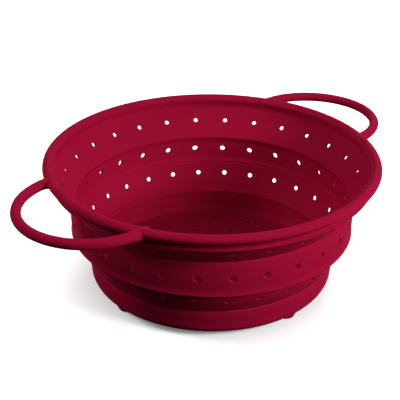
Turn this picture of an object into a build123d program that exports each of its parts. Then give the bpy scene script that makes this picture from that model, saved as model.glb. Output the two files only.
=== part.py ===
from build123d import *
import math
import os

os.makedirs("parts", exist_ok=True)

# The colander stands open on its feet. The table is at z = 0, and x runs along the two handles.

# Rim: a lip that tapers downwards, a neck set in from its edge, and a round bead that hangs out
# from the neck over a wire ring. The shelf is how far the lip stands out from the fold below it.
# Every other radius of the bowl follows from that of the lip.
lip_radius = 115.4
lip_height = 3.8
lip_shelf = 3.4
lip_taper = 2.8
lip_top_round = 0.8
lip_low_round = 0.3
neck_height = 4.65
neck_wall = 1.6
neck_set_back = 1.1
bead_radius = 3.55
bead_overhang = 2.85
wire_radius = 1.5

# Wall of the thick bands, thickness of the floor, and level width of the thin walls that fold
thick_wall = 2.4
floor_wall = 3.0
fold_wall = 1.6
# A folding wall starts this far in from the outer edge of the band that it joins
fold_set_back = 0.8
edge_round = 0.7

# Upper folding wall, middle band and lower folding wall; a run is how far a wall leans in, level
upper_fold_height = 14.0
upper_fold_run = 10.5
band_height = 25.2
band_taper = 0.1
band_bulge = 0.7
lower_fold_height = 19.8
lower_fold_run = 11.8

# Base: a wall that leans out a little, a floor with a rounded corner, and four feet
base_wall_height = 12.4
base_flare = 0.9
base_bulge = 0.4
base_corner_radius = 7.2
foot_height = 2.8
foot_radius = 6.4
foot_round = 1.2
foot_set_in = 10.1
foot_turn = -2.0

# Handle loops: half circles of covered wire, level with the bead but for a small drop
handle_loop_radius = 48.2
handle_sleeve_radius = 3.55
handle_end_overhang = 1.8
handle_wire_root = 1.0
handle_drop = 0.3

# Drain holes in the wall, each row with its own angle of the first hole
holes_in_row = 28
upper_hole_radius = 1.65
middle_hole_radius = 2.1
lower_hole_radius = 1.7
upper_row_start = 1.9
middle_row_start = 2.6
lower_row_start = 1.2
upper_row_height_share = 0.735
middle_row_height_share = 0.546
lower_row_height_share = 0.66

# Drain holes in the floor: each ring has this many more than the ring inside it
floor_hole_radius = 1.7
floor_ring_set_in = 18.2
floor_ring_spacing = 18.6
floor_ring_holes = 4
floor_ring_starts = [0.0, 15.0, 29.0, 20.9]

# Gaps between pieces moulded or set into each other, and the overrun of every cut
seat_clearance = 0.05
wire_gap = 0.35
overrun = 1.0

# Radii that follow from the lip's
lip_low_radius = lip_radius - lip_taper
neck_outer_radius = lip_radius - neck_set_back
bead_centre_radius = neck_outer_radius + bead_overhang
upper_fold_top_radius = lip_radius - lip_shelf
band_top_radius = upper_fold_top_radius - upper_fold_run + fold_set_back
band_low_radius = band_top_radius + band_taper
base_top_radius = band_low_radius - lower_fold_run
base_low_radius = base_top_radius - base_flare
corner_centre_radius = base_low_radius - base_corner_radius
foot_circle_radius = base_low_radius - foot_set_in
floor_ring_radius = base_low_radius - floor_ring_set_in

# Heights that follow from the table up
floor_top = foot_height + floor_wall
corner_centre_z = foot_height + base_corner_radius
base_top_z = corner_centre_z + base_wall_height
band_low_z = base_top_z + lower_fold_height
band_top_z = band_low_z + band_height
lip_low_z = band_top_z + upper_fold_height
lip_top_z = lip_low_z + lip_height
bead_z = lip_top_z + neck_height + bead_radius

# The handle wires end just short of the wire ring, and their ends follow its curve
bore_radius = wire_radius + seat_clearance
wire_end_radius = bead_centre_radius + wire_radius + wire_gap
handle_z = bead_z - handle_drop
handle_centre_x = math.sqrt((bead_centre_radius + handle_end_overhang) ** 2 - handle_loop_radius**2)
half_turn = Rot(0, 0, 180)


def turned(outline):
    """The solid that an outline of radius and height makes, turned about the z axis."""
    return revolve(Plane.XZ * make_face(outline), Axis.Z)


def rounded(face, corners, radius):
    """The face with the corners nearest the given points rounded."""
    found = [face.vertices().sort_by_distance(corner)[0] for corner in corners]
    return fillet(found, radius)


def hole_row(radius, z, hole_radius, start, lean):
    """Pegs for one row of wall holes; lean is the wall's slope from upright in degrees."""
    peg = Cylinder(hole_radius, 2 * (thick_wall + overrun), rotation=(0, 90, 0))
    pegs = []
    for step in range(holes_in_row):
        turn = start + step * 360 / holes_in_row
        pegs.append(Rot(0, 0, turn) * Pos(radius, 0, z) * Rot(0, lean, 0) * peg)
    return pegs


def wall_outline(low_radius, low_z, top_radius, top_z, bulge):
    """Section of a thick wall between two level ends, with its belly pushed out by the bulge."""
    middle_radius = (low_radius + top_radius) / 2 + bulge
    middle_z = (low_z + top_z) / 2
    outer = ThreePointArc((low_radius, low_z), (middle_radius, middle_z), (top_radius, top_z))
    inner = ThreePointArc(
        (low_radius - thick_wall, low_z),
        (middle_radius - thick_wall, middle_z),
        (top_radius - thick_wall, top_z),
    )
    top = Line((top_radius - thick_wall, top_z), (top_radius, top_z))
    bottom = Line((low_radius - thick_wall, low_z), (low_radius, low_z))
    return outer + top + inner + bottom


def fold_ring(low_radius, low_z, top_radius, top_z, hole_radius, start, height_share):
    """A thin folding wall between two level ends, with its row of drain holes."""
    section = Polyline(
        (low_radius - fold_wall, low_z),
        (low_radius, low_z),
        (top_radius, top_z),
        (top_radius - fold_wall, top_z),
        close=True,
    )
    middle_radius = low_radius + height_share * (top_radius - low_radius) - fold_wall / 2
    middle_z = low_z + height_share * (top_z - low_z)
    lean = math.degrees(math.atan2(top_radius - low_radius, top_z - low_z))
    return turned(section) - hole_row(middle_radius, middle_z, hole_radius, start, lean)


def under_floor(growth):
    """Everything above the underside of the floor and its corner, grown downwards and outwards."""
    low_z = foot_height - growth
    corner = CenterArc((corner_centre_radius, corner_centre_z), base_corner_radius + growth, -90, 90)
    underside = Line((0, low_z), (corner_centre_radius, low_z))
    top = Line((base_low_radius + growth, corner_centre_z), (0, corner_centre_z))
    axis = Line((0, corner_centre_z), (0, low_z))
    return turned(underside + corner + top + axis)


def base_floor():
    """The floor, with its rounded corner and rings of drain holes."""
    inner_corner = base_corner_radius - floor_wall
    inner_centre = base_low_radius - thick_wall - inner_corner
    outline = (
        Line((0, foot_height), (corner_centre_radius, foot_height))
        + CenterArc((corner_centre_radius, corner_centre_z), base_corner_radius, -90, 90)
        + Line((base_low_radius, corner_centre_z), (base_low_radius - thick_wall, corner_centre_z))
        + CenterArc((inner_centre, corner_centre_z), inner_corner, -90, 90)
        + Line((inner_centre, floor_top), (0, floor_top))
        + Line((0, floor_top), (0, foot_height))
    )
    peg = Cylinder(floor_hole_radius, 2 * (floor_wall + overrun))
    pegs = []
    rings = len(floor_ring_starts)
    for ring, start in enumerate(floor_ring_starts, 1):
        ring_radius = floor_ring_radius - (rings - ring) * floor_ring_spacing
        count = ring * floor_ring_holes
        for step in range(count):
            turn = start + step * 360 / count
            pegs.append(Rot(0, 0, turn) * Pos(ring_radius, 0, floor_top) * peg)
    return turned(outline) - pegs


def foot(turn):
    """One foot, seated under the floor and its corner."""
    low = (Align.CENTER, Align.CENTER, Align.MIN)
    pad = Cylinder(foot_radius, corner_centre_z, align=low)
    pad = fillet(pad.edges().sort_by(Axis.Z)[0], foot_round)
    return Rot(0, 0, turn) * Pos(foot_circle_radius, 0, 0) * pad - under_floor(seat_clearance)


def base_wall():
    """The thick wall of the base, from the floor's corner to the lower fold."""
    outline = wall_outline(base_low_radius, corner_centre_z, base_top_radius, base_top_z, base_bulge)
    section = rounded(make_face(outline), [(base_top_radius, base_top_z)], edge_round)
    return revolve(Plane.XZ * section, Axis.Z)


def middle_band():
    """The thick middle band, with its row of drain holes."""
    outline = wall_outline(band_low_radius, band_low_z, band_top_radius, band_top_z, band_bulge)
    ends = [(band_low_radius, band_low_z), (band_top_radius, band_top_z)]
    section = rounded(make_face(outline), ends, edge_round)
    row_radius = (band_low_radius + band_top_radius - thick_wall) / 2
    row_z = band_low_z + middle_row_height_share * band_height
    row = hole_row(row_radius, row_z, middle_hole_radius, middle_row_start, 0)
    return revolve(Plane.XZ * section, Axis.Z) - row


def lower_fold_wall():
    """The thin lower wall, from the base wall up to the middle band."""
    return fold_ring(
        base_top_radius - fold_set_back,
        base_top_z,
        band_low_radius - fold_set_back,
        band_low_z,
        lower_hole_radius,
        lower_row_start,
        lower_row_height_share,
    )


def upper_fold_wall():
    """The thin upper wall, from the middle band up to the lip."""
    return fold_ring(
        band_top_radius - fold_set_back,
        band_top_z,
        upper_fold_top_radius,
        lip_low_z,
        upper_hole_radius,
        upper_row_start,
        upper_row_height_share,
    )


def rim_lip():
    """The thick lip between the upper fold and the neck."""
    section = make_face(
        Polyline(
            (upper_fold_top_radius - fold_wall, lip_low_z),
            (lip_low_radius, lip_low_z),
            (lip_radius, lip_top_z),
            (neck_outer_radius - neck_wall, lip_top_z),
            close=True,
        )
    )
    section = rounded(section, [(lip_radius, lip_top_z)], lip_top_round)
    section = rounded(section, [(lip_low_radius, lip_low_z)], lip_low_round)
    return revolve(Plane.XZ * section, Axis.Z)


def handle_tube(radius, root):
    """A level tube along the right-hand handle loop, with a straight root at each end."""
    inner_x = handle_centre_x - root
    outer_x = handle_centre_x + handle_loop_radius
    path = (
        Line((inner_x, handle_loop_radius, handle_z), (handle_centre_x, handle_loop_radius, handle_z))
        + ThreePointArc(
            (handle_centre_x, handle_loop_radius, handle_z),
            (outer_x, 0, handle_z),
            (handle_centre_x, -handle_loop_radius, handle_z),
        )
        + Line((handle_centre_x, -handle_loop_radius, handle_z), (inner_x, -handle_loop_radius, handle_z))
    )
    start = Plane((inner_x, handle_loop_radius, handle_z), z_dir=(1, 0, 0))
    return sweep(start * Circle(radius), path)


def wire_space(growth):
    """The space of the right-hand handle wire, grown all round, up to just short of the wire ring."""
    core = Pos(0, 0, handle_z) * Cylinder(wire_end_radius - growth, 2 * bore_radius + overrun)
    return handle_tube(wire_radius + growth, handle_wire_root) - core


def rim_bead():
    """The round bead and its neck, with bores for the wire ring and the handle wires."""
    neck_middle = neck_outer_radius - neck_wall / 2
    neck_length = bead_z - lip_top_z
    neck = Pos(neck_middle, lip_top_z + neck_length / 2) * Rectangle(neck_wall, neck_length)
    centre = Pos(bead_centre_radius, bead_z)
    section = centre * Circle(bead_radius) + neck - centre * Circle(bore_radius)
    wire_bore = wire_space(seat_clearance)
    return revolve(Plane.XZ * section, Axis.Z) - [wire_bore, half_turn * wire_bore]


def rim_wire_ring():
    """The steel ring in the bead."""
    return Pos(0, 0, bead_z) * Torus(bead_centre_radius, wire_radius)


def rim_core():
    """The space that the rim takes, from the axis out, grown by the seat clearance."""
    low_z = lip_low_z
    lip_z = lip_top_z + seat_clearance
    high_z = bead_z + bead_radius + overrun
    lip_edge = lip_radius + overrun
    bead = Pos(bead_centre_radius, bead_z) * Circle(bead_radius + seat_clearance)
    inside = make_face(
        Polyline(
            (0, low_z),
            (lip_edge, low_z),
            (lip_edge, lip_z),
            (bead_centre_radius, lip_z),
            (bead_centre_radius, high_z),
            (0, high_z),
            close=True,
        )
    )
    return revolve(Plane.XZ * (inside + bead), Axis.Z)


def handle_sleeve():
    """The silicone round the right-hand handle wire, fitted to the outer half of the bead at its ends."""
    far_side = handle_loop_radius + handle_sleeve_radius
    root = handle_centre_x - math.sqrt(bead_centre_radius**2 - far_side**2) + overrun
    return handle_tube(handle_sleeve_radius, root) - rim_core() - wire_space(seat_clearance)


sleeve = handle_sleeve()
wire = wire_space(0)
nodes = {
    "foot_right": foot(foot_turn),
    "foot_back": foot(foot_turn + 90),
    "foot_left": foot(foot_turn + 180),
    "foot_front": foot(foot_turn + 270),
    "base_floor": base_floor(),
    "base_wall": base_wall(),
    "lower_fold_wall": lower_fold_wall(),
    "middle_band": middle_band(),
    "upper_fold_wall": upper_fold_wall(),
    "rim_lip": rim_lip(),
    "rim_bead": rim_bead(),
    "rim_wire_ring": rim_wire_ring(),
    "handle_right_sleeve": sleeve,
    "handle_right_wire": wire,
    "handle_left_sleeve": half_turn * sleeve,
    "handle_left_wire": half_turn * wire,
}

for name, shape in nodes.items():
    export_step(shape, f"parts/{name}.step")
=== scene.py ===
"""The looks of a collapsible silicone colander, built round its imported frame.

The table is at z = 0, the bowl's axis is the z axis and x runs along the two handles. Sizes are in
millimetres, and a mesh is turned to metres when it is made. The studio is in metres.
"""

import logging
import math
from bisect import bisect_right
from dataclasses import dataclass, field
from enum import Enum

import bpy
from mathutils import Matrix, Vector
from mathutils.geometry import tessellate_polygon


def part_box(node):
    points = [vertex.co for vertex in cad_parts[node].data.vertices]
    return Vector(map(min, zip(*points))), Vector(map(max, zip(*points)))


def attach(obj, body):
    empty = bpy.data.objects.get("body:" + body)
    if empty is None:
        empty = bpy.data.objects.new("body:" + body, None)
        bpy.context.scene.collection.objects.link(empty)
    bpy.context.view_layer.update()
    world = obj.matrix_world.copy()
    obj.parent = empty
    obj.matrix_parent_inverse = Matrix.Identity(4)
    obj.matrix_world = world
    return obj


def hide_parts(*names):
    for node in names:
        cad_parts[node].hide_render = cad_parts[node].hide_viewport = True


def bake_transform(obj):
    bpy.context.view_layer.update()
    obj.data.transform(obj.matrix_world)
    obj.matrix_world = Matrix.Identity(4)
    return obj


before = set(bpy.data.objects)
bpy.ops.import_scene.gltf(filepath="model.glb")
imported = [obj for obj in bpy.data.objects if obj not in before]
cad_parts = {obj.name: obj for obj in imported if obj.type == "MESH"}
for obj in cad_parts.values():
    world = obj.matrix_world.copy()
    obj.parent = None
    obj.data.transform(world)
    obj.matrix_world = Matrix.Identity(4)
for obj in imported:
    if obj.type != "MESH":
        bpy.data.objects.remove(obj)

MM = 0.001
# The smallest length, in millimetres, that is told from nothing
TINY = 1e-9
log = logging.getLogger("colander")


class Side(Enum):
    """Which of the two handles a piece belongs to, as its half turn about the bowl's axis."""

    RIGHT = 0.0
    LEFT = math.pi


class Slot(Enum):
    """The record's material slots."""

    SILICONE = "red_silicone"


# Finishes


def linear(hex_colour: str) -> tuple[float, float, float, float]:
    """Turn an sRGB hex colour to the linear colour that a shader takes.

    Args:
        hex_colour: six hex digits after a hash sign.

    Returns:
        Linear red, green and blue, and an alpha of 1.
    """
    shares = [v / 255 for v in bytes.fromhex(hex_colour[1:])]
    # The constants are those of the sRGB standard
    parts = [v / 12.92 if v <= 0.04045 else ((v + 0.055) / 1.055) ** 2.4 for v in shares]
    return (*parts, 1.0)


def add_node(
    tree: bpy.types.NodeTree, kind: str, settings: dict | None = None, links: dict | None = None
) -> bpy.types.Node:
    """Add one node with its settings and the links into it.

    Args:
        tree: the node tree that takes the node.
        kind: Blender's name of the node's type.
        settings: values by input name, or by property name.
        links: output sockets by the name or number of the input that each feeds.

    Returns:
        The new node.
    """
    node = tree.nodes.new(kind)
    for name, value in (settings or {}).items():
        if isinstance(name, str) and hasattr(node, name):
            setattr(node, name, value)
        else:
            node.inputs[name].default_value = value
    for name, output in (links or {}).items():
        tree.links.new(output, node.inputs[name])
    return node


def empty_material(name: str) -> bpy.types.Material:
    """Start a material whose node tree has no nodes yet.

    Args:
        name: the material's name.

    Returns:
        The material.
    """
    material = bpy.data.materials.new(name)
    material.use_nodes = True
    material.node_tree.nodes.clear()
    return material


@dataclass(frozen=True)
class MouldedSilicone:
    """Food-grade silicone rubber, pigmented red and compression moulded in a spark-eroded mould.

    The mould leaves a fine even grain, so light comes off it soft and matt, with no sharp highlight. The
    pigment goes all through, so the colour hardly changes from place to place.
    """

    body: str = "#A11036"
    shade: str = "#970E32"
    ior: float = 1.41
    # The eroded skin scatters nearly all that it reflects, so its gloss is weak and wide
    gloss: float = 0.01
    roughness: float = 0.68
    roughness_swing: float = 0.05
    # The real grain is about 0.1 mm, too fine for the render, so it is drawn at 0.7 mm
    grain_mm: float = 0.7
    grain_detail: float = 3.0
    grain_depth_mm: float = 0.012
    # Flow of the rubber in the mould tints it in soft clouds about as wide as a hand's palm
    cloud_mm: float = 60.0
    cloud_detail: float = 2.0

    def material(self) -> bpy.types.Material:
        """Build the material.

        Returns:
            The material.
        """
        material = empty_material("moulded_red_silicone")
        tree = material.node_tree
        place = {"Vector": add_node(tree, "ShaderNodeTexCoord").outputs["Object"]}
        size = {"Scale": 1 / (self.cloud_mm * MM), "Detail": self.cloud_detail}
        clouds = add_node(tree, "ShaderNodeTexNoise", size, place).outputs["Fac"]
        size = {"Scale": 1 / (self.grain_mm * MM), "Detail": self.grain_detail}
        grain = add_node(tree, "ShaderNodeTexNoise", size, place).outputs["Fac"]
        tints = {"data_type": "RGBA", 6: linear(self.shade), 7: linear(self.body)}
        colour = add_node(tree, "ShaderNodeMix", tints, {0: clouds})
        swing = {3: self.roughness - self.roughness_swing, 4: self.roughness + self.roughness_swing}
        rough = add_node(tree, "ShaderNodeMapRange", swing, {0: grain})
        depth = {"Strength": 1.0, "Distance": self.grain_depth_mm * MM}
        bump = add_node(tree, "ShaderNodeBump", depth, {"Height": grain})
        shader = add_node(
            tree,
            "ShaderNodeBsdfPrincipled",
            {"IOR": self.ior, "Specular IOR Level": self.gloss},
            {"Base Color": colour.outputs[2], "Roughness": rough.outputs[0], "Normal": bump.outputs[0]},
        )
        add_node(tree, "ShaderNodeOutputMaterial", {}, {"Surface": shader.outputs[0]})
        return material


@dataclass(frozen=True)
class DrawnStainlessWire:
    """Stainless steel spring wire, drawn through dies.

    Drawing leaves fine scratches and a film of polish, so the wire is bright with a slightly broken shine.
    """

    metal: str = "#CBCACD"
    roughness: float = 0.28
    roughness_swing: float = 0.08
    # Real drawing scratches are a few hundredths of a millimetre wide, too fine for the render
    scratch_mm: float = 0.4
    scratch_detail: float = 4.0

    def material(self) -> bpy.types.Material:
        """Build the material.

        Returns:
            The material.
        """
        material = empty_material("drawn_stainless_wire")
        tree = material.node_tree
        place = {"Vector": add_node(tree, "ShaderNodeTexCoord").outputs["Object"]}
        size = {"Scale": 1 / (self.scratch_mm * MM), "Detail": self.scratch_detail}
        streaks = add_node(tree, "ShaderNodeTexNoise", size, place).outputs["Fac"]
        swing = {3: self.roughness - self.roughness_swing, 4: self.roughness + self.roughness_swing}
        rough = add_node(tree, "ShaderNodeMapRange", swing, {0: streaks}).outputs[0]
        metal = {"Base Color": linear(self.metal), "Metallic": 1.0}
        shader = add_node(tree, "ShaderNodeBsdfPrincipled", metal, {"Roughness": rough})
        add_node(tree, "ShaderNodeOutputMaterial", {}, {"Surface": shader.outputs[0]})
        return material


@dataclass(frozen=True)
class WhiteSweep:
    """The studio's paper sweep: plain white to the eye, with the object's shadow on it.

    The eye sees a glow with the lit paper added to it. The glow rises away from the bowl, so that the paper
    is white but for the shadow round the base. Light that leaves the object meets dark grey paper, which
    throws little light up under the bowl.
    """

    glow: float = 0.12
    # Up to the first distance from the bowl's axis the glow is as above, and from the second it is white
    near_mm: float = 78.0
    far_mm: float = 150.0
    paper: str = "#FFFFFF"
    far_side: str = "#202020"

    def material(self) -> bpy.types.Material:
        """Build the material.

        Returns:
            The material.
        """
        material = empty_material("white_paper_sweep")
        tree = material.node_tree
        seen = seen_ray(tree)
        place = add_node(tree, "ShaderNodeTexCoord").outputs["Object"]
        away = add_node(tree, "ShaderNodeVectorMath", {"operation": "LENGTH"}, {0: place})
        rise = add_node(
            tree,
            "ShaderNodeMapRange",
            {1: self.near_mm * MM, 2: self.far_mm * MM, 3: self.glow, 4: 1.0},
            {0: away.outputs["Value"]},
        )
        glow = add_node(
            tree, "ShaderNodeEmission", {"Color": linear(self.paper)}, {"Strength": rise.outputs[0]}
        )
        lit = add_node(tree, "ShaderNodeBsdfDiffuse", {"Color": linear(self.paper)})
        bright = add_node(tree, "ShaderNodeAddShader", {}, {0: glow.outputs[0], 1: lit.outputs[0]})
        dim = add_node(tree, "ShaderNodeBsdfDiffuse", {"Color": linear(self.far_side)})
        both = add_node(
            tree, "ShaderNodeMixShader", {}, {0: seen, 1: dim.outputs[0], 2: bright.outputs[0]}
        )
        add_node(tree, "ShaderNodeOutputMaterial", {}, {"Surface": both.outputs[0]})
        return material


def seen_ray(tree: bpy.types.NodeTree) -> bpy.types.NodeSocket:
    """Find where a ray comes from the eye, from a gloss or through glass.

    Args:
        tree: the node tree that takes the nodes.

    Returns:
        A socket that is 1 on such a ray, and otherwise 0.
    """
    path = add_node(tree, "ShaderNodeLightPath").outputs
    seen = path["Is Camera Ray"]
    for kind in ("Is Glossy Ray", "Is Transmission Ray"):
        seen = add_node(tree, "ShaderNodeMath", {"operation": "MAXIMUM"}, {0: seen, 1: path[kind]}).outputs[0]
    return seen


# Meshes


class MeshDraft:
    """The points and faces of one mesh, in millimetres, before it is made."""

    def __init__(self) -> None:
        """Start an empty mesh."""
        self.points: list[Vector] = []
        self.faces: list[tuple[int, ...]] = []
        self.creases: list[tuple[int, int]] = []

    def point(self, place: Vector) -> int:
        """Add a point and return its number."""
        self.points.append(place)
        return len(self.points) - 1

    def circle(self, centre: Vector, radius: float, height: float, count: int) -> list[int]:
        """Add a level circle of points.

        Args:
            centre: its middle, on the plane z = 0.
            radius: its radius.
            height: its height.
            count: how many points it has.

        Returns:
            The ring of its points.
        """
        ring = []
        for k in range(count):
            turn = math.tau * k / count
            spoke = Vector((radius * math.cos(turn), radius * math.sin(turn), height))
            ring.append(self.point(centre + spoke))
        return ring

    def band(self, low: list[int], high: list[int]) -> None:
        """Join two closed rings with a band of four-sided faces.

        Args:
            low: one ring.
            high: the other ring, with as many points.
        """
        count = len(low)
        for i in range(count):
            j = (i + 1) % count
            self.faces.append((low[i], low[j], high[j], high[i]))

    def crease(self, ring: list[int]) -> None:
        """Keep the edges of a closed ring sharp in the shading."""
        self.creases += list(zip(ring, ring[1:] + ring[:1]))

    def build(self, name: str, material: bpy.types.Material) -> bpy.types.Object:
        """Make the mesh's object.

        Args:
            name: the piece's name.
            material: the finish of all its faces.

        Returns:
            The object, in metres, shaded smooth but for its creases.
        """
        mesh = bpy.data.meshes.new(name)
        mesh.from_pydata([p * MM for p in self.points], [], self.faces)
        mesh.validate()
        mesh.shade_smooth()
        kept = {tuple(sorted(pair)) for pair in self.creases}
        for edge in mesh.edges:
            if tuple(sorted(edge.vertices)) in kept:
                edge.use_edge_sharp = True
        mesh.materials.append(material)
        piece = bpy.data.objects.new(name, mesh)
        bpy.context.scene.collection.objects.link(piece)
        return piece


@dataclass(frozen=True)
class Corner:
    """A corner of an outline, by radius from the axis and height, with the radius that rounds it."""

    r: float
    z: float
    rounding: float = 0.0

    @property
    def place(self) -> Vector:
        """The corner as a plane vector."""
        return Vector((self.r, self.z))


class Outline:
    """A section through a turned piece, run counterclockwise with the bowl's axis on its left."""

    ARC_STEP = math.radians(2)
    # The roundings at a leg's two ends take up no more than this share of it
    LEG_SHARE = 0.999
    # A corner whose rounding takes less than this off its legs stays sharp
    SHARP = 1e-6
    # The nearest point is looked for in steps of about this length
    SEARCH_STEP = 0.05
    # Rows of points come after a turn of ROW_TURN or a run of ROW_STEP, and no nearer than ROW_GAP at bends
    ROW_TURN = math.radians(9)
    ROW_STEP = 3.0
    ROW_GAP = 0.12
    # Marks no further apart than this share a row
    SAME_ROW = 1e-5

    def __init__(self, corners: list[Corner]) -> None:
        """Round the corners and measure along the line.

        Args:
            corners: the line's corners in order. Its ends aren't rounded.
        """
        self.line: list[Vector] = []
        sharp_points = self._round(corners)
        self.lengths = [0.0]
        for a, b in zip(self.line, self.line[1:]):
            self.lengths.append(self.lengths[-1] + (b - a).length)
        self.sharp = [self.lengths[i] for i in sharp_points]
        self.total = self.lengths[-1]

    def _round(self, corners: list[Corner]) -> list[int]:
        """Fill self.line, with an arc for each rounded corner.

        Args:
            corners: the line's corners in order.

        Returns:
            The numbers of the line's points that are sharp corners.
        """
        count = len(corners)
        legs = [(b.place - a.place).length for a, b in zip(corners, corners[1:])]
        turns = [0.0] * count
        cuts = [0.0] * count
        for i in range(1, count - 1):
            before = corners[i].place - corners[i - 1].place
            after = corners[i + 1].place - corners[i].place
            turns[i] = math.atan2(before.x * after.y - before.y * after.x, before.dot(after))
            cuts[i] = corners[i].rounding * math.tan(abs(turns[i]) / 2)
        for i, leg in enumerate(legs):
            over = (cuts[i] + cuts[i + 1]) / (self.LEG_SHARE * leg)
            if over > 1:
                cuts[i] /= over
                cuts[i + 1] /= over
        sharp = []
        for i, corner in enumerate(corners):
            if cuts[i] < self.SHARP:
                sharp.append(len(self.line))
                self.line.append(corner.place)
                continue
            before = (corner.place - corners[i - 1].place).normalized()
            after = (corners[i + 1].place - corner.place).normalized()
            start = corner.place - before * cuts[i]
            radius = cuts[i] / math.tan(abs(turns[i]) / 2)
            side = Vector((-before.y, before.x)) * math.copysign(1, turns[i])
            centre = start + side * radius
            steps = max(2, math.ceil(abs(turns[i]) / self.ARC_STEP))
            for k in range(steps + 1):
                angle = turns[i] * k / steps
                spoke = Matrix.Rotation(angle, 2) @ (start - centre)
                self.line.append(centre + spoke)
        return sharp

    def at(self, length: float) -> tuple[Vector, Vector]:
        """Find a place on the line.

        Args:
            length: how far along the line it is.

        Returns:
            The point there, and the line's direction.
        """
        length = min(max(length, 0.0), self.total)
        high = min(max(bisect_right(self.lengths, length), 1), len(self.line) - 1)
        low = high - 1
        a, b = self.line[low], self.line[high]
        share = (length - self.lengths[low]) / max(self.lengths[high] - self.lengths[low], TINY)
        return a.lerp(b, share), (b - a).normalized()

    def nearest(self, place: Vector, start: float, end: float) -> float:
        """Find where the line is nearest a point.

        Args:
            place: the point.
            start: the length at which the search starts.
            end: the length at which it ends.

        Returns:
            The length between them at which the line is nearest.
        """
        best = start
        closest = math.inf
        steps = int((end - start) / self.SEARCH_STEP)
        for k in range(steps + 1):
            length = start + (end - start) * k / steps
            distance = (self.at(length)[0] - place).length
            if distance < closest:
                best, closest = length, distance
        return best

    def rows(self, marks: list[float]) -> list[float]:
        """Lengths at which the rows of points of a turned mesh lie.

        Args:
            marks: lengths that have to be among them.

        Returns:
            Lengths in order, closer together where the line bends.
        """
        kept: list[float] = []
        for mark in sorted([0.0, self.total, *self.sharp, *marks]):
            if not kept or mark - kept[-1] > self.SAME_ROW:
                kept.append(mark)
        rows = [kept[0]]
        for start, end in zip(kept, kept[1:]):
            turn = 0.0
            for i in range(1, len(self.line) - 1):
                if not start < self.lengths[i] < end:
                    continue
                before = self.line[i] - self.line[i - 1]
                after = self.line[i + 1] - self.line[i]
                turn += abs(before.angle(after, 0.0))
                room = min(self.lengths[i] - rows[-1], end - self.lengths[i])
                if turn > self.ROW_TURN and room > self.ROW_GAP:
                    rows.append(self.lengths[i])
                    turn = 0.0
            rows.append(end)
        spread = [rows[0]]
        for start, end in zip(rows, rows[1:]):
            pieces = max(1, math.ceil((end - start) / self.ROW_STEP))
            spread += [start + (end - start) * k / pieces for k in range(1, pieces + 1)]
        return spread


@dataclass(frozen=True)
class HoleRow:
    """A level row of round drain holes through a wall, by the middle of the wall at the holes."""

    wall_radius: float
    height: float
    radius: float
    start_deg: float


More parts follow.
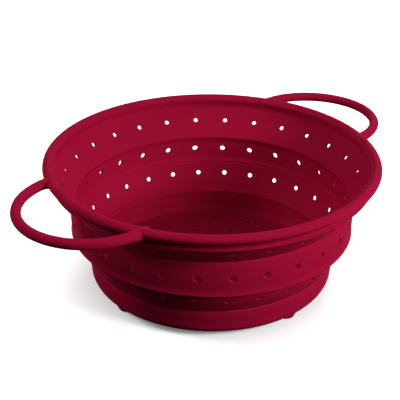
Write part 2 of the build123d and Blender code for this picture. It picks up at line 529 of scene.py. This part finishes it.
class TurnedShell:
    """A wall turned round the bowl's axis, with rows of drain holes cut through it."""

    HOLES = 28
    COLUMNS_A_HOLE = 12
    # A hole's patch is this many columns and rows wide, and its rim has four times as many points
    PATCH = 6
    # How far the patch reaches along the outline to either side of the hole's middle
    PATCH_REACH = 3.4
    RIM_ROUND = 0.35
    # How square each ring inside the patch's edge is, from 1 for the edge to 0 for a circle
    RING_SHARES = (0.62, 0.3, 0.0)
    ROUND_STEPS = (math.radians(45), math.radians(90))
    # A patch's points are counted from its low left corner, which lies this share of a turn round
    CORNER_SHARE = 5 / 8

    def __init__(self, outline: Outline, turning: float, rows: list[HoleRow], seam_turn: float) -> None:
        """Lay out the rows of points and the hole patches.

        Args:
            outline: the section, from its outer skin round to its inner skin.
            turning: the length along it where the outer skin ends and the inner skin starts.
            rows: the drain hole rows.
            seam_turn: the turn of the first hole of the row whose columns the seam follows, in degrees.
        """
        self.outline = outline
        self.columns = self.HOLES * self.COLUMNS_A_HOLE
        self.patches: list[tuple[float, HoleRow, bool]] = []
        for row in rows:
            place = Vector((row.wall_radius, row.height))
            self.patches.append((outline.nearest(place, 0.0, turning), row, True))
            self.patches.append((outline.nearest(place, turning, outline.total), row, False))
        self.patches.sort(key=lambda patch: patch[0])
        marks = []
        for length, _, _ in self.patches:
            half = self.PATCH // 2
            marks += [length + self.PATCH_REACH * k / half for k in range(-half, half + 1)]
        self.lengths = outline.rows(marks)
        self.turning = turning
        self.seam_turn = seam_turn

    def turn_at(self, length: float) -> float:
        """Find how far round the first column is, which is steady at a patch and changes evenly between.

        Args:
            length: the length along the outline.

        Returns:
            The column's turn, in radians.
        """
        knots = [(self.turning, self.seam_turn)]
        for centre, row, _ in self.patches:
            knots.append((centre - self.PATCH_REACH, row.start_deg))
            knots.append((centre + self.PATCH_REACH, row.start_deg))
        knots.sort()
        if length <= knots[0][0]:
            turn = knots[0][1]
        elif length >= knots[-1][0]:
            turn = knots[-1][1]
        else:
            after = next(i for i, knot in enumerate(knots) if knot[0] >= length)
            (a, low), (b, high) = knots[after - 1], knots[after]
            turn = low + (high - low) * (length - a) / max(b - a, TINY)
        return math.radians(turn) - math.tau / self.HOLES / 2

    def surface(self, angle: float, length: float) -> Vector:
        """The point at an angle about the axis and a length along the outline."""
        place, _ = self.outline.at(length)
        return Vector((place.x * math.cos(angle), place.x * math.sin(angle), place.y))

    def build(self, draft: MeshDraft) -> list[list[int]]:
        """Put the shell in a draft.

        Args:
            draft: the mesh that takes it.

        Returns:
            The rings of points, one for each row.
        """
        grid = []
        for length in self.lengths:
            turn = self.turn_at(length)
            angles = [turn + math.tau * k / self.columns for k in range(self.columns)]
            grid.append([draft.point(self.surface(angle, length)) for angle in angles])
        cut: set[int] = set()
        rims: dict[HoleRow, dict[bool, list[list[int]]]] = {}
        for centre, row, outer in self.patches:
            low = centre - self.PATCH_REACH
            first = min(range(len(self.lengths)), key=lambda i: abs(self.lengths[i] - low))
            cut.update(range(first, first + self.PATCH))
            rings = [self.hole_rim(draft, grid, first, centre, row, hole) for hole in range(self.HOLES)]
            rims.setdefault(row, {})[outer] = rings
        side = (self.COLUMNS_A_HOLE - self.PATCH) // 2
        for i in range(len(grid) - 1):
            for j in range(self.columns):
                within = side <= j % self.COLUMNS_A_HOLE < side + self.PATCH
                if i in cut and within:
                    continue
                k = (j + 1) % self.columns
                draft.faces.append((grid[i][j], grid[i][k], grid[i + 1][k], grid[i + 1][j]))
        for row_rims in rims.values():
            for outer_rim, inner_rim in zip(row_rims[True], row_rims[False]):
                # The inner rim runs the other way round and starts at the patch's other end
                count = len(outer_rim)
                facing = [inner_rim[(-count // 4 - n) % count] for n in range(count)]
                draft.band(outer_rim, facing)
        return grid

    def hole_rim(
        self, draft: MeshDraft, grid: list[list[int]], first: int, centre: float, row: HoleRow, hole: int
    ) -> list[int]:
        """Fill a patch round one hole, with a rounded rim.

        Args:
            draft: the mesh that takes it.
            grid: the rings of points of the shell.
            first: the lowest row of the patch.
            centre: the length along the outline at the hole's middle.
            row: the row that the hole is in.
            hole: the hole's number in its row.

        Returns:
            The ring of points at the top of the hole's own wall.
        """
        size = self.PATCH
        half = size // 2
        left = hole * self.COLUMNS_A_HOLE + (self.COLUMNS_A_HOLE - size) // 2
        steps = [(k, 0) for k in range(size)] + [(size, k) for k in range(size)]
        steps += [(size - k, size) for k in range(size)] + [(0, size - k) for k in range(size)]
        edge = [grid[first + v][left + u] for u, v in steps]
        place, along = self.outline.at(centre)
        middle = self.turn_at(centre) + math.tau * (left + half) / self.columns
        outward = Vector((along.y * math.cos(middle), along.y * math.sin(middle), -along.x))
        wide = math.tau * place.x / self.columns
        tall = self.PATCH_REACH / half
        count = len(steps)
        rings = [edge]
        rim = row.radius + self.RIM_ROUND
        layers = [(share, rim, 0.0) for share in self.RING_SHARES]
        for angle in self.ROUND_STEPS:
            sunk = self.RIM_ROUND * (1 - math.cos(angle))
            layers.append((0.0, rim - self.RIM_ROUND * math.sin(angle), sunk))
        for share, radius, sunk in layers:
            ring = []
            for n, (u, v) in enumerate(steps):
                angle = math.tau * (n / count + self.CORNER_SHARE)
                x = (1 - share) * radius * math.cos(angle) + share * (u - half) * wide
                y = (1 - share) * radius * math.sin(angle) + share * (v - half) * tall
                spot = self.surface(middle + x / place.x, centre + y) - outward * sunk
                ring.append(draft.point(spot))
            rings.append(ring)
        for outer, inner in zip(rings, rings[1:]):
            draft.band(outer, inner)
        return rings[-1]


# The bowl. In its sections, what is added to the solids' sizes gives the photograph's ridges and folds


@dataclass(frozen=True)
class BowlSizes:
    """The bowl's main sizes, read from the frame, in millimetres."""

    lip_low: float
    lip_top: float
    bead_edge: float
    bead_top: float
    band_radius: float
    band_low: float
    band_top: float
    base_radius: float
    base_top: float
    underside: float
    corner_top: float
    corner_radius: float
    bead_radius: float = 3.55
    bead_overhang: float = 2.85
    neck_wall: float = 1.6
    lip_step: float = 1.1
    thick_wall: float = 2.4
    thin_wall: float = 1.3
    floor_wall: float = 3.0

    @classmethod
    def from_frame(cls) -> "BowlSizes":
        """Read the sizes from the frame's nodes.

        Returns:
            The sizes.
        """
        lip = node_box("rim_lip")
        bead = node_box("rim_bead")
        band = node_box("middle_band")
        wall = node_box("base_wall")
        floor = node_box("base_floor")
        return cls(
            lip_low=lip[0].z,
            lip_top=lip[1].z,
            bead_edge=bead[1].x,
            bead_top=bead[1].z,
            band_radius=band[1].x,
            band_low=band[0].z,
            band_top=band[1].z,
            base_radius=wall[1].x,
            base_top=wall[1].z,
            underside=floor[0].z,
            corner_top=floor[1].z,
            corner_radius=floor[1].x,
        )

    @property
    def bead_centre(self) -> Vector:
        """The middle of the bead's round section."""
        return Vector((self.bead_edge - self.bead_radius, self.bead_top - self.bead_radius))

    @property
    def neck_radius(self) -> float:
        """The neck's outer radius."""
        return self.bead_centre.x - self.bead_overhang

    @property
    def lip_radius(self) -> float:
        """The radius of the lip's upper edge."""
        return self.neck_radius + self.lip_step

    @property
    def floor_top(self) -> float:
        """The height of the floor's upper face."""
        return self.underside + self.floor_wall


def node_box(node: str) -> tuple[Vector, Vector]:
    """A node's lowest and highest corners, in millimetres."""
    low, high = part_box(node)
    return low / MM, high / MM


@dataclass
class Seam:
    """The level line under the middle band where the upper and lower mouldings meet."""

    sizes: BowlSizes
    set_in: float = 4.1
    above_band: float = 1.95
    lean_deg: float = 38.5
    # A second row of points this far from the seam keeps the shading true up to it
    lead: float = 0.012

    @property
    def along(self) -> Vector:
        """The wall's upward direction at the seam."""
        lean = math.radians(self.lean_deg)
        return Vector((math.sin(lean), math.cos(lean)))

    @property
    def inner(self) -> Vector:
        """The seam on the inner skin."""
        return Vector((self.sizes.band_radius - self.set_in, self.sizes.band_low + self.above_band))

    @property
    def outer(self) -> Vector:
        """The seam on the outer skin."""
        return self.inner + Vector((self.along.y, -self.along.x)) * self.sizes.thin_wall

    def corner(self, place: Vector, shift: float = 0.0) -> Corner:
        """A sharp corner at a seam point, or a little way along the wall from it."""
        moved = place + self.along * shift
        return Corner(moved.x, moved.y)


@dataclass
class UpperMoulding:
    """The middle band, the upper folding wall, the lip, the neck and the rim bead, in one skin."""

    sizes: BowlSizes
    seam: Seam
    finish: bpy.types.Material
    upper_row: HoleRow
    middle_row: HoleRow
    # How far in from the solid's thick wall the ridges' foot and the wall between them lie
    ridge_stand: float = 1.15
    wall_stand: float = 0.3
    bead_step_deg: float = 8.0
    bead_end_deg: float = 140.0
    # How far the bead's lower outer side is drawn in, as a share of its width there
    bead_tuck_share: float = 0.3
    # How far above the middle band the bend starts
    bend_start: float = 0.7

    def outer_corners(self) -> list[Corner]:
        """Lay out the outer skin from the seam to the neck.

        Returns:
            Its corners in order.
        """
        s = self.sizes
        seam = self.seam
        band = s.band_radius
        return [
            seam.corner(seam.outer),
            seam.corner(seam.outer, seam.lead),
            Corner(band - 1.75, s.band_low + 2.9, 0.4),
            Corner(band - 1.5, s.band_low + 0.05, 0.4),
            Corner(band + 0.45, s.band_low, 0.9),
            Corner(band - 0.6, s.band_low + 3.4, 3.0),
            Corner(band - 0.05, s.band_low + 12.5, 60.0),
            Corner(band - 0.25, s.band_top - 5.0, 20.0),
            Corner(band - 0.6, s.band_top + 0.3, 1.5),
            Corner(band - 2.0, s.band_top + 0.75, 0.8),
            Corner(band + 0.35, s.band_top + 2.75, 5.0),
            Corner(s.lip_radius - 3.2, s.lip_low + 0.2, 8.0),
            Corner(s.lip_radius + 0.2, s.lip_top - 1.1, 2.0),
            Corner(s.lip_radius + 0.3, s.lip_top, 0.9),
            Corner(s.neck_radius, s.lip_top + 0.05, 0.6),
        ]

    def bead_corners(self) -> list[Corner]:
        """Lay out the bead's round, from the neck's outer face out and over to its inner side.

        Returns:
            Its corners in order.
        """
        s = self.sizes
        centre = s.bead_centre
        start = math.pi + math.acos(s.bead_overhang / s.bead_radius)
        end = math.tau + math.radians(self.bead_end_deg)
        steps = round(math.degrees(end - start) / self.bead_step_deg)
        angles = [start + (end - start) * k / steps for k in range(steps + 1)]
        corners = []
        for a in angles:
            across = s.bead_radius * math.cos(a)
            if across > 0 and math.sin(a) < 0:
                across *= 1 + self.bead_tuck_share * math.sin(a)
            corners.append(Corner(centre.x + across, centre.y + s.bead_radius * math.sin(a)))
        return corners

    def inner_corners(self) -> list[Corner]:
        """Lay out the inner skin from the neck down to the seam.

        Returns:
            Its corners in order.
        """
        s = self.sizes
        seam = self.seam
        inner = s.band_radius - s.thick_wall - self.ridge_stand
        wall = s.band_radius - s.thick_wall - self.wall_stand
        neck = s.neck_radius - s.neck_wall
        bead = s.bead_centre
        bead_side = bead.x - s.bead_radius
        return [
            Corner(bead_side - 1.1, bead.y + 1.3, 1.3),
            Corner(bead_side - 1.0, bead.y - 1.2, 1.0),
            Corner(neck + 0.6, bead.y - s.bead_radius + 0.2, 0.8),
            Corner(neck + 0.5, s.lip_top + 2.6, 3.0),
            Corner(neck - 4.2, s.lip_low - 2.0, 9.0),
            Corner(inner + self.ridge_stand, s.band_top + 2.2, 3.0),
            Corner(inner - 1.0, s.band_top - 0.9, 1.8),
            Corner(wall, s.band_top - 4.8, 4.0),
            Corner(wall, s.band_low + 5.6, 2.5),
            Corner(inner - 0.9, s.band_low + 3.5, 1.4),
            seam.corner(seam.inner, seam.lead),
            seam.corner(seam.inner),
        ]

    def build(self) -> bpy.types.Object:
        """Make the moulding, and hide the frame's nodes that it covers.

        Returns:
            The moulding's object.
        """
        corners = self.outer_corners() + self.bead_corners() + self.inner_corners()
        outline = Outline(corners)
        bead_top = Vector((self.sizes.bead_centre.x, self.sizes.bead_top))
        top = outline.nearest(bead_top, 0.0, outline.total)
        shell = TurnedShell(outline, top, [self.upper_row, self.middle_row], self.upper_row.start_deg)
        draft = MeshDraft()
        grid = shell.build(draft)
        draft.band(grid[-1], grid[0])
        draft.crease(grid[0])
        draft.crease(grid[-1])
        piece = draft.build("upper_moulding", self.finish)
        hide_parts("middle_band", "upper_fold_wall", "rim_lip", "rim_bead")
        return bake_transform(piece)


@dataclass
class LowerMoulding:
    """The floor with its drain holes, the base wall and the lower folding wall, in one skin."""

    sizes: BowlSizes
    seam: Seam
    finish: bpy.types.Material
    lower_row: HoleRow
    seam_turn: float
    floor_hole_radius: float = 1.7
    floor_rim_round: float = 0.35
    ring_step: float = 18.6
    ring_hole_step: int = 4
    ring_starts_deg: tuple[float, ...] = (0.0, 15.0, 29.0, 20.9)
    outer_ring_set_in: float = 18.2
    rim_points: int = 24
    rim_steps: tuple[float, ...] = (0.0, math.radians(45), math.radians(90))
    # How far above the base the bend starts, and how far under the seam it ends
    bend_start: float = 0.8
    bend_end: float = 0.05

    def corners(self) -> list[Corner]:
        """Lay out the section from the underside, out and up the outer skin, and down the inner skin.

        Returns:
            Its corners in order.
        """
        s = self.sizes
        seam = self.seam
        base = s.base_radius
        low = s.corner_radius
        round_out = s.corner_top - s.underside
        inner = base - s.thick_wall - 0.1
        return [
            Corner(low - round_out - 0.5, s.underside),
            Corner(low, s.underside, round_out),
            Corner(low + 0.1, s.corner_top + 3.0, 30.0),
            Corner(base + 0.1, s.base_top - 3.5, 12.0),
            Corner(base - 0.05, s.base_top + 0.15, 1.6),
            Corner(base - 1.4, s.base_top + 0.85, 0.7),
            Corner(base + 1.15, s.base_top + 2.15, 4.0),
            Corner(base + 7.15, s.base_top + 13.1, 26.0),
            Corner(base + 8.98, s.band_low + 0.87, 3.5),
            seam.corner(seam.outer, -seam.lead),
            seam.corner(seam.outer),
            seam.corner(seam.inner),
            seam.corner(seam.inner, -seam.lead),
            Corner(base + 7.87, s.band_low + 1.4, 3.0),
            Corner(base + 6.05, s.base_top + 13.5, 25.0),
            Corner(base + 0.1, s.base_top + 2.6, 2.0),
            Corner(inner - 1.0, s.base_top + 0.8, 1.6),
            Corner(inner + 0.1, s.base_top - 2.6, 4.0),
            Corner(inner - 0.7, s.floor_top, s.corner_top - s.floor_top + 0.4),
            Corner(low - round_out - 0.5, s.floor_top),
        ]

    def build(self) -> bpy.types.Object:
        """Make the moulding, and hide the frame's nodes that it covers.

        Returns:
            The moulding's object.
        """
        outline = Outline(self.corners())
        turning = outline.nearest(self.seam.outer, 0.0, outline.total)
        shell = TurnedShell(outline, turning, [self.lower_row], self.seam_turn)
        draft = MeshDraft()
        grid = shell.build(draft)
        for length, ring in zip(shell.lengths, grid):
            place = outline.at(length)[0]
            gap = min((place - self.seam.outer).length, (place - self.seam.inner).length)
            if gap < self.seam.lead / 4:
                draft.crease(ring)
        self.close_floor(draft, grid[0], grid[-1])
        piece = draft.build("lower_moulding", self.finish)
        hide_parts("base_floor", "base_wall", "lower_fold_wall")
        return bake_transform(piece)

    def close_floor(self, draft: MeshDraft, under: list[int], above: list[int]) -> None:
        """Fill the floor's two faces and cut its drain holes.

        Args:
            draft: the mesh that takes them.
            under: the ring of points round the underside.
            above: the ring of points round the upper face.
        """
        rims_under = []
        rims_above = []
        outer = self.sizes.corner_radius - self.outer_ring_set_in
        rings = len(self.ring_starts_deg)
        for number, start in enumerate(self.ring_starts_deg, 1):
            radius = outer - (rings - number) * self.ring_step
            count = number * self.ring_hole_step
            for k in range(count):
                turn = math.radians(start) + math.tau * k / count
                centre = Vector((radius * math.cos(turn), radius * math.sin(turn), 0))
                wide_low, low = self.floor_rim(draft, centre, self.sizes.underside, 1)
                wide_high, high = self.floor_rim(draft, centre, self.sizes.floor_top, -1)
                draft.band(high, low)
                rims_under.append(wide_low)
                rims_above.append(wide_high)
        # The level faces keep their own shading, so that no streaks run across them
        for ring in (under, above, *rims_under, *rims_above):
            draft.crease(ring)
        self.fill(draft, [under, *rims_under], -1)
        self.fill(draft, [above, *rims_above], 1)

    def floor_rim(
        self, draft: MeshDraft, centre: Vector, height: float, inward: int
    ) -> tuple[list[int], list[int]]:
        """Round one end of a floor hole.

        Args:
            draft: the mesh that takes it.
            centre: the hole's middle, on the plane z = 0.
            height: the height of the floor's face.
            inward: 1 where the hole goes up from that face, and -1 where it goes down.

        Returns:
            The ring of points on the face, and the ring at the end of the hole's own wall.
        """
        rings = []
        for angle in self.rim_steps:
            radius = self.floor_hole_radius + self.floor_rim_round * (1 - math.sin(angle))
            z = height + inward * self.floor_rim_round * (1 - math.cos(angle))
            rings.append(draft.circle(centre, radius, z, self.rim_points))
        for wide, narrow in zip(rings, rings[1:]):
            if inward > 0:
                draft.band(narrow, wide)
            else:
                draft.band(wide, narrow)
        return rings[0], rings[-1]

    @staticmethod
    def fill(draft: MeshDraft, loops: list[list[int]], up: int) -> None:
        """Fill a level face that has holes.

        Args:
            draft: the mesh that takes it.
            loops: the ring round the face, and the rings of its holes.
            up: 1 where the face looks up, and -1 where it looks down.
        """
        flat = [[draft.points[i].to_2d().to_3d() for i in loop] for loop in loops]
        numbers = [i for loop in loops for i in loop]
        for a, b, c in tessellate_polygon(flat):
            face = (numbers[a], numbers[b], numbers[c])
            p, q, r = (draft.points[i] for i in face)
            if (q - p).cross(r - p).z * up < 0:
                face = face[::-1]
            draft.faces.append(face)


@dataclass
class Foot:
    """One low foot, a round pad with a soft edge that runs out into the underside."""

    node: str
    sizes: BowlSizes
    finish: bpy.types.Material
    points: int = 48
    # One level face closes this share of the pad's radius
    flat_share: float = 0.35
    edge_round: float = 1.5
    # How far the pad spreads where it runs out into the underside
    spread: float = 0.8
    spread_round: float = 0.6
    # How far up in the floor its top lies
    sunk: float = 0.7

    def build(self) -> bpy.types.Object:
        """Make the foot, with its top inside the floor.

        Returns:
            The foot's object.
        """
        low, high = node_box(self.node)
        centre = ((low + high) / 2).to_2d().to_3d()
        radius = (high.x - low.x) / 2
        under = self.sizes.underside
        outline = Outline(
            [
                Corner(radius * self.flat_share, 0.0),
                Corner(radius, 0.0, self.edge_round),
                Corner(radius, under - self.spread_round, self.spread_round),
                Corner(radius + self.spread, under + 0.1, 0.5),
                Corner(radius + self.spread * 0.9, under + self.sunk),
            ]
        )
        draft = MeshDraft()
        places = [outline.at(length)[0] for length in outline.rows([])]
        rings = [draft.circle(centre, place.x, place.y, self.points) for place in places]
        for lower, upper in zip(rings, rings[1:]):
            draft.band(lower, upper)
        draft.faces.append(tuple(reversed(rings[0])))
        draft.faces.append(tuple(rings[-1]))
        draft.crease(rings[-1])
        piece = draft.build(f"{self.node}_pad", self.finish)
        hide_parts(self.node)
        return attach(piece, "base")


@dataclass
class HandleSleeve:
    """The silicone round one handle wire, a level loop whose roots swell down on to the lip."""

    side: Side
    sizes: BowlSizes
    finish: bpy.types.Material
    arc_steps: int = 72
    root_steps: int = 6
    section_points: int = 32
    # The root swells along this much of the loop from its end, and to its sides by no more than this
    swell_length: float = 13.0
    swell_wide: float = 0.5
    # How deep the sleeve's ends lie in the neck
    end_depth: float = 0.75

    def build(self) -> bpy.types.Object:
        """Make the sleeve as a tube swept round the loop.

        Returns:
            The sleeve's object.
        """
        name = "handle_right_sleeve" if self.side is Side.RIGHT else "handle_left_sleeve"
        low, high = node_box("handle_right_sleeve")
        tube = (high.z - low.z) / 2
        level = (high.z + low.z) / 2
        loop = high.y - tube
        centre_x = high.x - loop - tube
        end_radius = self.sizes.neck_radius - self.end_depth
        root = centre_x - math.sqrt(end_radius**2 - loop**2)
        draft = MeshDraft()
        # A station is a share of the way along a root, and a turn round the loop
        shares = [k / self.root_steps for k in range(self.root_steps)]
        stations = [(share, 0.0) for share in shares]
        stations += [(1.0, math.pi * k / self.arc_steps) for k in range(self.arc_steps + 1)]
        stations += [(share, math.pi) for share in reversed(shares)]
        rings = []
        for share, turn in stations:
            along = root * share + loop * min(turn, math.pi - turn)
            swell = max(0.0, 1 - along / self.swell_length) ** 2
            drop = (level - tube - self.sizes.lip_top) * swell
            ring = []
            for n in range(self.section_points):
                angle = math.tau * n / self.section_points
                out = (tube + self.swell_wide * swell) * math.cos(angle)
                rise = (tube + (drop if angle > math.pi else 0.0)) * math.sin(angle)
                reach = loop + out
                x = centre_x + reach * math.sin(turn)
                y = reach * math.cos(turn)
                end_x = math.sqrt(end_radius**2 - y**2) if share < 1 else x
                place = Vector((end_x + (x - end_x) * share, y, level + rise))
                ring.append(draft.point(Matrix.Rotation(self.side.value, 3, "Z") @ place))
            rings.append(ring)
        for a, b in zip(rings, rings[1:]):
            draft.band(b, a)
        draft.faces.append(tuple(rings[0]))
        draft.faces.append(tuple(reversed(rings[-1])))
        piece = draft.build(f"{name}_skin", self.finish)
        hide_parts(name)
        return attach(piece, "rim")


@dataclass
class WireWork:
    """The steel ring in the bead and the wires in the handles, which keep their frame shapes."""

    finish: bpy.types.Material
    nodes: tuple[str, ...] = ("rim_wire_ring", "handle_right_wire", "handle_left_wire")

    def dress(self) -> list[bpy.types.Object]:
        """Give the wires their finish.

        Returns:
            The wires' objects.
        """
        wires = [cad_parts[name] for name in self.nodes]
        for wire in wires:
            wire.data.materials.clear()
            wire.data.materials.append(self.finish)
        return wires


# The studio


@dataclass(frozen=True)
class Softbox:
    """A square studio softbox that looks at the bowl."""

    name: str
    # Turn to the right of the camera about the bowl, and height above the horizon
    azimuth_deg: float
    elevation_deg: float
    # The share of its own colour that a matt surface facing the box shows
    level: float
    side: float = 0.42
    distance: float = 1.2

    def place(self, camera_azimuth: float, target: Vector) -> bpy.types.Object:
        """Set the softbox up.

        Args:
            camera_azimuth: the camera's turn about the z axis, in radians.
            target: the point that the box looks at.

        Returns:
            The light's object.
        """
        lamp = bpy.data.lights.new(self.name, "AREA")
        lamp.shape = "SQUARE"
        lamp.size = self.side
        # A lamp of power P lights what faces it by P / (pi d^2) from d metres away, and a white matt
        # surface sends 1 / pi of that to the eye
        lamp.energy = self.level * math.pi**2 * self.distance**2
        turn = camera_azimuth + math.radians(self.azimuth_deg)
        rise = math.radians(self.elevation_deg)
        way = Vector((math.cos(turn) * math.cos(rise), math.sin(turn) * math.cos(rise), math.sin(rise)))
        light = bpy.data.objects.new(self.name, lamp)
        light.location = target + way * self.distance
        light.rotation_euler = way.to_track_quat("Z", "Y").to_euler()
        bpy.context.scene.collection.objects.link(light)
        return light


@dataclass
class Studio:
    """The camera, the softboxes and the white sweep."""

    # The camera is fitted to the rim and the three rows of drain holes in the photograph
    eye: Vector = field(default_factory=lambda: Vector((-0.42968, -0.44495, 0.38338)))
    forward: Vector = field(default_factory=lambda: Vector((0.606724, 0.645704, -0.463630)))
    up: Vector = field(default_factory=lambda: Vector((0.313629, 0.341484, 0.886017)))
    lens: float = 85.57
    sensor: float = 36.0
    target: Vector = field(default_factory=lambda: Vector((0.0, 0.0, 0.05)))
    sweep_side: float = 8.0
    # How bright the room is to the object, where 1 is white
    ambient: float = 0.04
    softboxes: tuple[Softbox, ...] = (
        Softbox("key_softbox", 60, 27, 1.03),
        Softbox("left_edge_softbox", -90, 36, 0.55),
        Softbox("back_softbox", 165, 24, 0.3),
    )

    @property
    def camera_azimuth(self) -> float:
        """The camera's turn about the z axis, in radians."""
        return math.atan2(self.eye.y, self.eye.x)

    def build(self) -> None:
        """Set up everything that isn't the object."""
        scene = bpy.context.scene
        scene.view_settings.view_transform = "Standard"
        self.place_camera(scene)
        for softbox in self.softboxes:
            softbox.place(self.camera_azimuth, self.target)
        self.lay_sweep()
        self.set_world(scene)

    def place_camera(self, scene: bpy.types.Scene) -> None:
        """Set the camera up.

        Args:
            scene: the scene that looks through it.
        """
        lens = bpy.data.cameras.new("camera")
        lens.lens = self.lens
        lens.sensor_width = self.sensor
        camera = bpy.data.objects.new("camera", lens)
        right = self.forward.cross(self.up).normalized()
        up = right.cross(self.forward).normalized()
        turn = Matrix((right, up, -self.forward.normalized())).transposed()
        camera.matrix_world = Matrix.Translation(self.eye) @ turn.to_4x4()
        scene.collection.objects.link(camera)
        scene.camera = camera

    def lay_sweep(self) -> None:
        """Lay the white paper under the object."""
        half = self.sweep_side / 2
        mesh = bpy.data.meshes.new("white_sweep")
        corners = [(-half, -half, 0), (half, -half, 0), (half, half, 0), (-half, half, 0)]
        mesh.from_pydata(corners, [], [(0, 1, 2, 3)])
        mesh.materials.append(WhiteSweep().material())
        sweep = bpy.data.objects.new("white_sweep", mesh)
        bpy.context.scene.collection.objects.link(sweep)

    def set_world(self, scene: bpy.types.Scene) -> None:
        """Make the room white to the eye and dim to the object.

        Args:
            scene: the scene that takes the room.
        """
        world = bpy.data.worlds.new("studio_room")
        scene.world = world
        world.use_nodes = True
        tree = world.node_tree
        tree.nodes.clear()
        level = add_node(tree, "ShaderNodeMapRange", {3: self.ambient, 4: 1.0}, {0: seen_ray(tree)})
        white = {"Color": linear("#FFFFFF")}
        room = add_node(tree, "ShaderNodeBackground", white, {"Strength": level.outputs[0]})
        add_node(tree, "ShaderNodeOutputWorld", {}, {"Surface": room.outputs[0]})


def report(piece: bpy.types.Object) -> None:
    """Say what was built."""
    log.info("%s: %d faces", piece.name, len(piece.data.polygons))


def main() -> None:
    """Build the colander's pieces in order, and then the studio."""
    logging.basicConfig(level=logging.INFO, format="%(message)s")
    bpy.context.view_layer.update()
    sizes = BowlSizes.from_frame()
    seam = Seam(sizes)
    silicone = MouldedSilicone().material()
    steel = DrawnStainlessWire().material()
    upper_row = HoleRow(wall_radius=108.4, height=77.7, radius=1.6, start_deg=1.9)
    middle_row = HoleRow(wall_radius=101.6, height=55.95, radius=2.1, start_deg=2.6)
    lower_row = HoleRow(wall_radius=97.0, height=35.5, radius=1.7, start_deg=1.2)
    report(UpperMoulding(sizes, seam, silicone, upper_row, middle_row).build())
    report(LowerMoulding(sizes, seam, silicone, lower_row, middle_row.start_deg).build())
    for node in ("foot_right", "foot_back", "foot_left", "foot_front"):
        report(Foot(node, sizes, silicone).build())
    for side in Side:
        report(HandleSleeve(side, sizes, silicone).build())
    for wire in WireWork(steel).dress():
        report(wire)
    Studio().build()


if __name__ == "__main__":
    main()
